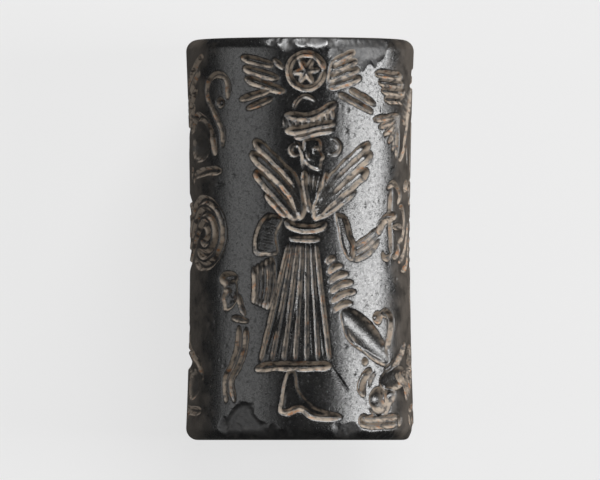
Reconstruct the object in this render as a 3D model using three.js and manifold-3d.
// A cylinder seal: a small pierced cylinder of dark polished stone with a frieze of figures cut into it.
// It lies on its side, its bore along Y, on a small flat worn on its back. Millimetres, +Z up.

import * as THREE from 'three';
import { mergeVertices } from 'three/addons/utils/BufferGeometryUtils.js';
import Module from 'manifold-3d';

const wasm = await Module();
wasm.setup();

// ---- driving dimensions ----

const sealLength = 26;
const beltDiameter = 14.8; // over the two ends
const waistDiameter = 14.3; // the sides draw in a little towards the middle
const rimRounding = 0.75;
const boreDiameter = 3.2; // where the drillings from the two ends meet
const mouthDiameter = 4.0; // at the ends, worn wider by the pin
const restFlatDepth = 0.08; // how much the flat takes off the belts
const friezeLength = 45; // the drawing's length round the stone

// ---- how finely round forms are faceted ----

const stoneFacets = 36;
const boreFacets = 20;
const rimSteps = 2;
const stoneRows = [0, 7];

// ---- the engraver's tools, as the width and depth of what they leave ----

const hairline = { width: 0.24, depth: 0.13 };
const line = { width: 0.36, depth: 0.22 };
const bold = { width: 0.5, depth: 0.3 };
const broad = { width: 0.72, depth: 0.36 };
const toolLip = 0.12; // how far a tool stands clear of the stone where it enters
const tipTaper = 0.45; // length over which a long cut runs out at its end
const shortCut = 2.8; // a shorter one is a plain boat shape, widest halfway
const longestStep = 2.4; // how far round the stone a cut is straight, so that it follows the curve
const curveStep = 1.75; // the same for cuts that bend in the drawing

// ---- values worked out from these ----

const halfLength = sealLength / 2;
const beltRadius = beltDiameter / 2;
const waistRadius = waistDiameter / 2;
const beltReach = halfLength - rimRounding;
const axisHeight = beltRadius - restFlatDepth;
const degree = Math.PI / 180;

// The frieze is drawn flat: u runs round the stone from the goddess's middle line, v along it from
// halfway up. Both are millimetres.
function stoneRadius(v) {
  const reach = Math.min(Math.abs(v) / beltReach, 1);
  return waistRadius + (beltRadius - waistRadius) * reach ** 2;
}

function onStone(u, v, depth) {
  const turn = (u / friezeLength) * 2 * Math.PI;
  const radius = stoneRadius(v) - depth;
  return new THREE.Vector3(radius * Math.sin(turn), v, radius * Math.cos(turn));
}

function toSolid(geometry) {
  geometry.deleteAttribute('normal');
  geometry.deleteAttribute('uv');
  const merged = mergeVertices(geometry, 1e-4);
  return new wasm.Manifold(new wasm.Mesh({
    numProp: 3,
    vertProperties: Float32Array.from(merged.attributes.position.array),
    triVerts: Uint32Array.from(merged.index.array),
  }));
}

// ---- drawing in the flat ----

const mix = (from, to, share) => [
  from[0] + (to[0] - from[0]) * share,
  from[1] + (to[1] - from[1]) * share,
];
const gap = (from, to) => Math.hypot(to[0] - from[0], to[1] - from[1]);

function smooth(points, step = curveStep) {
  const curve = new THREE.CatmullRomCurve3(points.map(([u, v]) => new THREE.Vector3(u, v, 0)));
  const pieces = Math.max(2, Math.round(curve.getLength() / step));
  return curve.getSpacedPoints(pieces).map((point) => [point.x, point.y]);
}

function arcPoints(centre, radius, from, to, step = curveStep) {
  const sweep = Math.abs(to - from) * degree;
  const pieces = Math.max(2, Math.round((sweep * radius) / step), Math.round(sweep / (52 * degree)));
  return Array.from({ length: pieces + 1 }, (_, index) => {
    const angle = (from + ((to - from) * index) / pieces) * degree;
    return [centre[0] + radius * Math.cos(angle), centre[1] + radius * Math.sin(angle)];
  });
}

// The places along a cut where its section is set: its two tips, a full section a taper in from each,
// and every corner between, with more where a straight run is long.
function sections(points) {
  const corners = [0];
  for (let index = 1; index < points.length; index += 1) {
    corners.push(corners[index - 1] + gap(points[index - 1], points[index]));
  }
  const length = corners[corners.length - 1];
  const pointAt = (distance) => {
    let leg = 1;
    while (leg < points.length - 1 && corners[leg] < distance) leg += 1;
    const share = (distance - corners[leg - 1]) / (corners[leg] - corners[leg - 1]);
    return mix(points[leg - 1], points[leg], share);
  };
  const taper = length < shortCut ? length / 2 : tipTaper;
  const marks = [0, taper];
  const inner = corners.filter((mark) => mark > taper * 1.5 && mark < length - taper * 1.5);
  for (const mark of [...inner, length - taper, length]) {
    const last = marks[marks.length - 1];
    if (mark - last < 1e-6) continue;
    const round = Math.abs(pointAt(mark)[0] - pointAt(last)[0]);
    const steps = Math.max(1, Math.ceil(round / longestStep));
    for (let step = 1; step <= steps; step += 1) marks.push(last + ((mark - last) * step) / steps);
  }
  return marks.map(pointAt);
}

// ---- the engraver's cuts: each is a solid that is taken out of the stone ----

const cuts = [];

// A graver's cut: a V section that follows a path and runs out to a point at both ends.
function cut(points, tool = line) {
  const path = sections(points);
  const last = path.length - 1;
  const graver = new THREE.SphereGeometry(1, 3, last);
  const position = graver.attributes.position;
  const halfOpening = (tool.width / 2) * (1 + toolLip / tool.depth);
  for (let index = 0; index < position.count; index += 1) {
    const station = Math.round((Math.acos(position.getY(index)) / Math.PI) * last);
    const [u, v] = path[station];
    const before = path[Math.max(station - 1, 0)];
    const after = path[Math.min(station + 1, last)];
    const reach = gap(before, after);
    const isTip = station === 0 || station === last;
    const isFloor = !isTip && position.getX(index) < 0;
    const side = isTip || isFloor ? 0 : Math.sign(position.getZ(index)) * halfOpening;
    const across = [(after[1] - before[1]) / reach, -(after[0] - before[0]) / reach];
    const point = onStone(u + across[0] * side, v + across[1] * side, isFloor ? tool.depth : -toolLip);
    position.setXYZ(index, point.x, point.y, point.z);
  }
  cuts.push(toSolid(graver));
}

// A scooped or drilled hollow: half an ellipsoid, long along its own turned axis.
function scoop(centre, long, wide, turn, depth, sides = long > 0.8 ? 8 : 6, bands = 4) {
  const bowl = new THREE.SphereGeometry(1, sides, bands);
  const position = bowl.attributes.position;
  const cosine = Math.cos(turn * degree);
  const sine = Math.sin(turn * degree);
  for (let index = 0; index < position.count; index += 1) {
    const a = position.getX(index) * long;
    const b = position.getZ(index) * wide;
    const sunk = -position.getY(index) * (depth + toolLip) - toolLip;
    const point = onStone(centre[0] + a * cosine + b * sine, centre[1] + a * sine - b * cosine, sunk);
    position.setXYZ(index, point.x, point.y, point.z);
  }
  cuts.push(toSolid(bowl));
}

const drill = (centre, radius, depth) => scoop(centre, radius, radius, 0, depth, 6, radius < 0.4 ? 2 : 4);

// A limb or body: a scoop laid from one place to another.
function limb(from, to, halfWidth, depth) {
  const turn = Math.atan2(to[1] - from[1], to[0] - from[0]) / degree;
  scoop(mix(from, to, 0.5), gap(from, to) / 2, halfWidth, turn, depth);
}

const bend = (points, tool) => cut(smooth(points), tool);
const arc = (centre, radius, from, to, tool) => cut(arcPoints(centre, radius, from, to), tool);

// A row of cuts, from places spread along one line to places spread along another: feathers, pleats, hatching.
function comb(count, roots, tips, tool) {
  for (let index = 0; index < count; index += 1) {
    const share = index / (count - 1);
    cut([mix(roots[0], roots[1], share), mix(tips[0], tips[1], share)], tool);
  }
}

// Short strokes hung along a curve, turning from a first direction to a last one.
function fringe(count, points, first, last, tool) {
  const edge = new THREE.CatmullRomCurve3(points.map(([u, v]) => new THREE.Vector3(u, v, 0)));
  for (let index = 0; index < count; index += 1) {
    const share = index / (count - 1);
    const { x, y } = edge.getPointAt(share);
    const [du, dv] = mix(first, last, share);
    cut([[x, y], [x + du, y + dv]], tool);
  }
}

// A face in profile, the same plain one for every human head: brow, nose, mouth and chin at the thirds of
// its height, an eye at the brow's foot, and a shallow hollow for the cheek. face is 1 towards +u.
function profile(top, height, face) {
  const at = (out, down) => [top[0] + face * out * height, top[1] - down * height];
  scoop(at(0.02, 0.52), height * 0.46, height * 0.3, 90, 0.2);
  cut([at(0.26, 0.04), at(0.28, 0.33), at(0.46, 0.62), at(0.3, 0.68), at(0.33, 0.8), at(0.2, 1)], hairline);
  drill(at(0.12, 0.4), height * 0.07, 0.26);
}

// ---- the winged disk over the scene ----

function wingedDisk() {
  const disk = [0.4, 10.8];
  const diskRadius = 1.12;
  arc(disk, diskRadius, 0, 360, line);
  for (const angle of [118, 62, 8]) {
    const reach = diskRadius * 0.72;
    const [du, dv] = [Math.cos(angle * degree) * reach, Math.sin(angle * degree) * reach];
    cut([[disk[0] - du, disk[1] - dv], [disk[0] + du, disk[1] + dv]], line);
  }
  comb(3, [[-1.6, 11.1], [-0.9, 9.5]], [[-3.9, 11.7], [-3.6, 10.4]], bold);
  comb(2, [[-1.9, 9.55], [-1.7, 9.05]], [[-4.1, 8.95], [-3.6, 8.35]], line);
  comb(4, [[2.0, 11.2], [1.8, 9.7]], [[3.7, 12.1], [4.1, 10.45]], bold);
  comb(2, [[2.4, 9.35], [3.2, 9.65]], [[5.1, 8.15], [5.3, 8.65]], line);
  cut([[-1.7, 11.6], [-1.0, 10.9]], line);
}

// ---- the winged goddess ----

function goddessHead() {
  bend([[-0.45, 8.3], [0.3, 9.15], [1.05, 8.85]], line);
  bend([[-0.95, 8.0], [0.9, 8.05], [2.2, 8.75]], bold);
  bend([[-0.9, 7.05], [0.3, 7.2], [2.2, 7.75]], bold);
  bend([[0.2, 6.75], [1.0, 7.2], [2.05, 7.3]], line);
  profile([1.05, 6.75], 2.3, 1);
  arc([-0.1, 5.75], 0.32, 40, 300, hairline);
  comb(3, [[0.2, 5.3], [1.2, 4.1]], [[0.2, 2.9], [1.1, 3.0]], line);
}

function goddessWings() {
  bend([[-3.1, 6.25], [-0.9, 3.95], [0.05, 1.4]], bold);
  bend([[-3.3, 5.55], [-1.0, 3.1], [0.2, 1.2]], line);
  bend([[-2.95, 4.2], [-1.4, 2.5], [-0.35, 1.3]], bold);
  cut([[-2.2, 2.75], [-1.1, 1.5]], line);
  bend([[4.8, 6.05], [2.4, 4.1], [1.2, 1.9]], bold);
  bend([[5.0, 5.6], [2.3, 3.3], [0.95, 1.4]], line);
  bend([[4.7, 4.3], [2.6, 2.9], [0.9, 1.2]], bold);
  cut([[3.8, 2.95], [1.4, 1.3]], line);
}

function goddessDress() {
  const pleats = 7;
  bend([[-0.95, 0.95], [0.5, 0.5], [1.75, 0.8]], bold);
  cut([[-0.75, -0.05], [1.25, -0.1]], line);
  comb(pleats, [[-0.7, -0.3], [1.0, -0.35]], [[-2.6, -8.0], [1.95, -7.95]], line);
  bend([[-2.95, -8.4], [-0.6, -8.15], [2.05, -8.15]], bold);
  comb(3, [[1.8, -1.6], [1.75, -3.3]], [[2.8, -1.1], [3.5, -2.6]], line);
  comb(3, [[1.8, -3.9], [2.0, -4.8]], [[3.7, -3.1], [3.8, -3.9]], line);
}

function goddessLimbs() {
  // The arm that hangs, in a sleeve, and the one that is raised to hold the emblem.
  bend([[-1.7, 1.75], [-2.75, 0.6], [-3.1, -1.25]], broad);
  bend([[-1.5, 1.2], [-2.15, 0.1], [-2.2, -0.9]], line);
  comb(3, [[-1.9, -1.1], [-2.6, -1.2]], [[-2.3, -4.0], [-3.1, -3.9]], line);
  cut([[-3.1, -4.3], [-2.2, -4.65]], bold);
  bend([[2.3, 1.6], [2.7, -0.2], [3.5, -1.25]], broad);
  bend([[3.4, -1.2], [4.6, -0.5], [5.75, 0.4]], bold);
  bend([[5.7, 0.4], [6.4, 1.35], [7.75, 1.5]], bold);
  // The leg set on the lion, and the one she stands on.
  limb([3.0, -4.4], [6.5, -8.5], 0.72, 0.42);
  bend([[6.2, -8.5], [7.6, -7.85], [8.85, -6.75]], bold);
  comb(2, [[-0.95, -8.6], [-0.25, -8.65]], [[-1.05, -10.9], [0.0, -10.3]], line);
  bend([[-0.1, -10.2], [0.9, -11.0], [2.5, -11.4]], bold);
  bend([[-1.35, -11.15], [0.3, -11.2], [2.4, -11.5]], line);
}

// ---- the looped sign that she holds ----

function emblem() {
  bend([[7.75, 2.2], [8.1, 2.9], [7.3, 3.6], [6.4, 3.25]], line);
  cut([[6.95, 3.2], [6.8, 1.8], [6.95, -1.0]], line);
  bend([[7.95, 2.05], [8.7, 1.9], [8.9, 0.9], [7.8, -0.25]], line);
  cut([[7.1, 0.8], [8.7, 0.8]], line);
  bend([[7.75, -0.25], [7.7, -1.1], [6.95, -1.15], [6.05, -0.9]], line);
}

// ---- the lion under her foot ----

function troddenLion() {
  drill([9.9, -8.0], 0.8, 0.42);
  cut([[9.9, -8.35], [11.5, -8.3]], bold);
  cut([[10.2, -8.9], [11.3, -8.9]], line);
  limb([8.7, -8.8], [5.4, -9.5], 0.75, 0.4);
  comb(3, [[8.0, -8.9], [9.3, -8.6]], [[9.1, -10.4], [10.3, -9.6]], line);
  limb([4.6, -10.6], [6.6, -10.1], 0.95, 0.5);
  bend([[6.5, -9.2], [5.2, -9.4], [4.45, -10.9]], bold);
  comb(2, [[4.3, -11.65], [4.3, -12.0]], [[7.5, -11.5], [7.2, -11.95]], line);
  bend([[4.9, -8.5], [4.1, -9.4], [4.3, -10.2]], line);
  bend([[6.3, -7.1], [6.85, -5.6], [6.6, -4.85], [5.6, -4.95]], line);
  drill([5.5, -5.15], 0.36, 0.3);
  comb(3, [[9.3, -11.3], [12.0, -11.3]], [[9.8, -12.2], [12.5, -12.3]], line);
  cut([[9.2, -11.05], [11.7, -10.9]], line);
}

// ---- the animal that hangs between the two figures ----

function hangingHare() {
  drill([10.5, 3.0], 0.72, 0.36);
  cut([[11.5, 3.95], [12.5, 4.7]], broad);
  cut([[9.7, 3.55], [8.7, 3.2]], broad);
  cut([[10.9, 2.7], [11.8, 2.6]], line);
  comb(3, [[10.1, 2.0], [10.2, 1.2]], [[11.5, 2.0], [11.4, 1.1]], line);
  limb([11.0, 2.1], [10.8, -2.6], 0.6, 0.4);
  comb(3, [[11.1, 0.4], [11.2, -1.1]], [[12.0, 0.3], [12.0, -1.1]], line);
  bend([[9.8, 1.1], [8.8, -0.9], [7.9, -1.6]], line);
  bend([[10.1, 0.2], [9.4, -1.6], [8.3, -2.1]], line);
  bend([[11.0, -2.5], [12.0, -5.3], [11.9, -6.8], [11.3, -7.3]], line);
  bend([[10.4, -2.9], [10.9, -4.9], [11.2, -6.5], [10.5, -7.2]], line);
}

function crook() {
  bend([[12.4, 7.1], [11.6, 7.85], [10.75, 7.4], [10.4, 6.0], [10.4, 4.2]], line);
}

// ---- the bird of prey ----

function bird() {
  drill([10.4, 10.6], 0.62, 0.32);
  cut([[10.9, 10.6], [12.2, 11.0], [13.1, 10.35]], line);
  cut([[11.3, 10.4], [12.6, 10.1]], line);
  limb([10.5, 10.0], [8.4, 7.6], 0.8, 0.42);
  comb(3, [[8.2, 10.4], [8.8, 9.2]], [[5.2, 10.6], [6.1, 9.15]], bold);
  comb(4, [[7.9, 7.9], [7.7, 7.0]], [[5.2, 7.6], [7.45, 5.2]], line);
  bend([[9.4, 7.7], [8.8, 6.4], [8.5, 5.5], [7.85, 5.05]], line);
}

// ---- the king, facing her ----

function kingHead() {
  scoop([16.3, 9.95], 1.1, 0.85, 15, 0.36);
  bend([[15.2, 9.05], [16.5, 9.25], [18.1, 9.5]], bold);
  bend([[16.2, 9.85], [17.1, 9.8], [18.0, 9.6]], line);
  profile([16.15, 8.75], 3.0, -1);
  limb([16.75, 8.2], [16.75, 5.4], 0.42, 0.3);
}

function kingDress() {
  comb(2, [[17.5, 4.9], [15.3, 4.7]], [[16.8, 2.7], [16.6, 2.8]], line);
  bend([[18.85, 4.9], [18.4, 3.7], [18.1, 2.2]], line);
  fringe(6, [[17.9, 4.3], [17.5, 3.2], [17.7, 1.7]], [0.5, 0], [0.7, 0], line);
  bend([[17.6, 1.5], [18.2, -1.2], [18.75, -4.2], [19.4, -5.4], [20.8, -5.9]], line);
  bend([[18.3, 0.3], [18.8, -2.2], [19.2, -4.4], [20.0, -5.2]], line);
  fringe(6, [[18.1, 1.2], [18.9, 0.9], [19.4, 0.2]], [0.5, -0.7], [0.5, -0.6], line);
  fringe(12, [[16.8, 0.5], [17.3, -2.2], [18.1, -5.1], [20.9, -6.7]], [0.75, 0.35], [-0.1, -0.8], line);
  cut([[15.6, -1.1], [15.6, -3.1]], line);
}

function kingLimbs() {
  bend([[15.0, 0.8], [13.3, 1.5], [11.5, 1.3]], bold);
  limb([16.4, -4.9], [15.2, -10.9], 0.62, 0.38);
  bend([[15.1, -7.5], [14.8, -10.2], [13.2, -11.6]], bold);
  limb([20.35, -8.0], [20.5, -10.9], 0.45, 0.32);
  limb([19.0, -11.7], [21.2, -11.5], 0.7, 0.36);
  drill([21.8, -11.5], 0.5, 0.3);
}

function mace() {
  cut([[13.95, 4.7], [14.05, 1.9]], line);
  bend([[13.2, 6.9], [13.35, 5.5], [13.95, 4.95], [14.2, 6.2]], line);
}

// ---- a seated winged beast with a hind leg, haunch, back and tail, shared by sphinx and griffin ----

function hindquarters(haunch, turn, depth, back) {
  scoop(haunch, 1.25, 0.78, turn, depth);
  bend(back, bold);
}

function curlTail(points, tuft) {
  bend(points, line);
  drill(tuft, 0.32, 0.26);
}

function doubled(points, shift, tool) {
  cut(points, tool);
  cut(points.map(([u, v]) => [u + shift[0], v + shift[1]]), tool);
}

function sphinx() {
  profile([-13.15, 10.75], 2.2, -1);
  bend([[-13.3, 11.2], [-12.0, 10.5], [-11.5, 9.5], [-12.3, 8.7], [-13.0, 7.7]], bold);
  limb([-13.5, 8.9], [-13.6, 5.9], 0.48, 0.36);
  comb(2, [[-12.9, 6.2], [-12.2, 5.6]], [[-10.9, 9.0], [-10.4, 7.4]], bold);
  comb(4, [[-10.5, 9.8], [-10.6, 7.2]], [[-7.3, 11.9], [-8.7, 8.7]], bold);
  hindquarters([-8.1, 5.95], 5, 0.46, [[-9.5, 7.1], [-8.3, 7.95], [-6.9, 7.3], [-6.3, 5.6]]);
  doubled([[-12.5, 5.0], [-15.2, 5.4], [-15.5, 4.1]], [0.6, -0.6], bold);
  cut([[-5.6, 4.4], [-9.0, 4.2]], bold);
  comb(2, [[-9.4, 4.8], [-9.0, 4.2]], [[-9.8, 3.8], [-9.3, 3.6]], line);
  curlTail([[-5.6, 6.0], [-5.5, 6.9], [-6.9, 9.3], [-6.0, 10.6], [-4.95, 10.2], [-5.1, 9.0]], [-5.65, 8.8]);
}

function griffin() {
  limb([-18.2, 9.2], [-17.6, 11.4], 0.4, 0.32);
  fringe(3, [[-18.1, 11.7], [-17.5, 11.7], [-17.0, 11.4]], [0.1, -0.9], [0, -0.9], line);
  cut([[-17.2, 10.9], [-16.4, 10.7], [-16.6, 10.2]], line);
  limb([-17.8, 9.5], [-18.5, 8.1], 0.5, 0.34);
  comb(3, [[-19.7, 10.1], [-19.0, 8.3]], [[-18.1, 9.1], [-17.7, 8.2]], line);
  comb(2, [[-19.3, 8.2], [-19.75, 8.1]], [[-20.4, 11.2], [-20.85, 11.1]], line);
  comb(4, [[-20.5, 10.4], [-20.1, 8.5]], [[-22.3, 11.35], [-22.0, 9.4]], bold);
  hindquarters([-22.15, 6.75], 47, 0.46, [[-20.9, 8.2], [-22.2, 8.25], [-23.1, 7.1], [-23.45, 5.7]]);
  comb(2, [[-18.4, 7.7], [-17.85, 7.7]], [[-18.4, 4.7], [-17.95, 4.5]], bold);
  comb(2, [[-18.0, 4.5], [-18.4, 4.1]], [[-16.6, 4.7], [-17.0, 4.1]], line);
  doubled([[-24.0, 4.95], [-21.5, 5.0], [-21.2, 4.4]], [0.1, -0.45], line);
  curlTail(
    [[-24.1, 6.9], [-23.4, 9.2], [-23.9, 10.5], [-24.9, 10.7], [-25.45, 9.2]],
    [-24.65, 9.15],
  );
}

// ---- the guilloche between the two registers ----
// Each strand is three parallel cuts. It comes over one eye, runs down on a slant between two eyes and
// passes under the next. On the circles of radius r and pitch * sin(slant) - r, all three slant alike.

function guilloche() {
  const eyes = 5;
  const pitch = 3.66;
  const slant = 50;
  const radii = [0.62, 1.4, 2.18];
  const radiusSum = pitch * Math.sin(slant * degree);
  const eyeAt = (index) => [-7.64 - pitch * index, 0.4 + 0.1 * index];
  for (const radius of radii) {
    for (let index = 0; index < eyes - 1; index += 1) {
      const over = arcPoints(eyeAt(index), radius, index === 0 ? -125 : 42, 90 + slant);
      const under = arcPoints(eyeAt(index + 1), radiusSum - radius, slant - 90, index === eyes - 2 ? -318 : -132);
      cut([...over, ...under], bold);
    }
  }
}

// ---- the two beasts under the guilloche ----

function wingedBeast() {
  bend([[-11.4, -3.6], [-12.2, -3.9], [-13.1, -3.3], [-14.0, -3.5], [-15.1, -3.4]], line);
  bend([[-15.0, -3.5], [-14.95, -4.2], [-14.5, -4.75]], line);
  drill([-12.9, -4.1], 0.3, 0.26);
  limb([-12.8, -4.4], [-12.6, -8.4], 0.7, 0.46);
  comb(3, [[-11.9, -5.4], [-11.3, -6.9]], [[-10.9, -5.3], [-9.9, -6.9]], bold);
  comb(2, [[-11.5, -5.0], [-10.7, -5.9]], [[-12.0, -6.4], [-11.2, -7.3]], line);
  bend([[-10.6, -6.6], [-9.3, -7.5], [-8.1, -8.0], [-7.5, -9.1]], bold);
  scoop([-9.0, -9.4], 1.25, 0.9, 20, 0.44);
  doubled([[-12.25, -8.5], [-12.25, -10.7], [-13.4, -11.1]], [-0.5, 0.35], line);
  doubled([[-13.4, -8.3], [-14.7, -6.8], [-15.4, -7.1]], [-0.1, -0.5], line);
  cut([[-7.6, -11.1], [-10.7, -11.0]], bold);
  comb(2, [[-10.7, -11.0], [-10.2, -11.0]], [[-10.75, -11.7], [-10.25, -11.7]], line);
}

function standingLion() {
  drill([-17.9, -3.6], 0.66, 0.4);
  comb(2, [[-17.4, -3.3], [-17.5, -4.1]], [[-16.1, -3.2], [-16.2, -4.15]], bold);
  cut([[-18.75, -3.85], [-18.2, -3.2]], line);
  limb([-18.2, -4.2], [-20.7, -6.7], 0.85, 0.46);
  comb(4, [[-19.0, -5.9], [-18.0, -5.4]], [[-19.2, -7.2], [-18.3, -7.0]], line);
  bend([[-20.4, -6.4], [-22.0, -7.1], [-22.75, -8.7]], bold);
  scoop([-21.4, -8.65], 1.35, 0.78, 36, 0.46);
  doubled([[-18.0, -7.5], [-16.9, -6.65], [-16.0, -6.75]], [0.1, -0.5], line);
  comb(2, [[-18.6, -8.1], [-18.05, -8.0]], [[-18.5, -10.8], [-17.95, -10.6]], line);
  comb(2, [[-18.0, -10.5], [-18.9, -11.2]], [[-16.9, -10.9], [-17.0, -11.1]], line);
  comb(2, [[-23.1, -10.6], [-22.4, -11.5]], [[-20.8, -10.8], [-20.6, -11.4]], bold);
  bend([
    [-23.4, -7.7], [-22.4, -6.4], [-21.0, -5.3], [-20.75, -4.0], [-21.5, -3.15], [-22.6, -3.7], [-22.75, -4.9],
  ], line);
}

// ---- the small attendant behind the goddess ----

function attendant() {
  cut([[-5.75, -2.65], [-4.3, -2.55]], broad);
  profile([-4.9, -2.8], 1.7, -1);
  cut([[-4.75, -5.0], [-3.4, -5.3]], line);
  bend([[-4.15, -5.6], [-4.3, -7.1], [-5.15, -9.1], [-5.1, -10.6]], line);
  bend([[-3.6, -5.7], [-3.7, -7.2], [-4.65, -9.2], [-4.4, -10.6]], line);
  cut([[-4.2, -3.9], [-3.9, -4.9]], line);
}

// ---- wear: chips on the rims, scattered round a place by turns of the golden angle ----

const goldenAngle = 137.5;

function chips(count, centre, spread, size, depth) {
  for (let index = 0; index < count; index += 1) {
    const distance = Math.sqrt((index + 0.5) / count);
    const angle = index * goldenAngle * degree;
    const place = [
      centre[0] + Math.cos(angle) * distance * spread[0],
      centre[1] + Math.sin(angle) * distance * spread[1],
    ];
    const share = 0.6 + 0.4 * Math.cos(index * 2.1);
    scoop(place, size * share, size * share * 0.6, index * 51, depth * share, 5, 2);
  }
}

function wear() {
  chips(5, [4.2, 12.3], [1.7, 0.5], 0.55, 0.2);
  chips(3, [-0.8, 12.75], [2.2, 0.15], 0.6, 0.24);
  chips(4, [-2.9, -11.9], [1.7, 0.7], 0.6, 0.24);
  chips(3, [2.4, -12.4], [1.2, 0.3], 0.5, 0.22);
  chips(3, [-23.9, 12.5], [0.9, 0.3], 0.6, 0.24);
  chips(3, [-5.0, -11.4], [0.9, 0.5], 0.5, 0.2);
  chips(2, [14.2, 12.4], [1.6, 0.3], 0.6, 0.2);
}

// ---- the stone ----

function lathe(outline, facets, start) {
  const points = outline.map(([radius, v]) => new THREE.Vector2(radius, v));
  return toSolid(new THREE.LatheGeometry(points, facets, start));
}

function blank() {
  const side = stoneRows.map((v) => [stoneRadius(v), v]);
  const rim = Array.from({ length: rimSteps + 1 }, (_, index) => {
    const angle = ((90 * index) / rimSteps) * degree;
    return [beltRadius - rimRounding * (1 - Math.cos(angle)), beltReach + rimRounding * Math.sin(angle)];
  });
  const upper = [...side, ...rim];
  const lower = upper.slice(1).reverse().map(([radius, v]) => [radius, -v]);
  const outline = [[0, -halfLength], ...lower, ...upper, [0, halfLength]];
  const facetMiddleDown = Math.PI / stoneFacets;
  return lathe(outline, stoneFacets, facetMiddleDown);
}

function bore() {
  const past = halfLength + 1;
  const flare = (mouthDiameter - boreDiameter) / 2 / halfLength;
  const mouth = boreDiameter / 2 + flare * past;
  const outline = [[0, -past], [mouth, -past], [boreDiameter / 2, 0], [mouth, past], [0, past]];
  return lathe(outline, boreFacets, 0);
}

function belowRest() {
  const slab = new THREE.BoxGeometry(beltDiameter * 2, sealLength * 2, beltDiameter);
  slab.translate(0, 0, -axisHeight - beltRadius);
  return toSolid(slab);
}

function carveFrieze() {
  wingedDisk();
  goddessHead();
  goddessWings();
  goddessDress();
  goddessLimbs();
  emblem();
  troddenLion();
  hangingHare();
  crook();
  bird();
  kingHead();
  kingDress();
  kingLimbs();
  mace();
  sphinx();
  griffin();
  guilloche();
  wingedBeast();
  standingLion();
  attendant();
  wear();
}

function seal() {
  carveFrieze();
  let stone = blank().subtract(bore());
  for (const tool of cuts) stone = stone.subtract(tool);
  stone = stone.subtract(belowRest());
  const mesh = stone.getMesh();
  const geometry = new THREE.BufferGeometry();
  geometry.setAttribute('position', new THREE.BufferAttribute(Float32Array.from(mesh.vertProperties), 3));
  geometry.setIndex(new THREE.BufferAttribute(Uint32Array.from(mesh.triVerts), 1));
  const stoneColour = new THREE.Color(0x3b3a39);
  const material = new THREE.MeshStandardMaterial({ color: stoneColour, roughness: 0.32, metalness: 0.55 });
  const node = new THREE.Mesh(geometry, material);
  node.name = 'seal';
  node.position.set(0, 0, axisHeight);
  return node;
}

const group = new THREE.Group();
group.add(seal());

export default group;
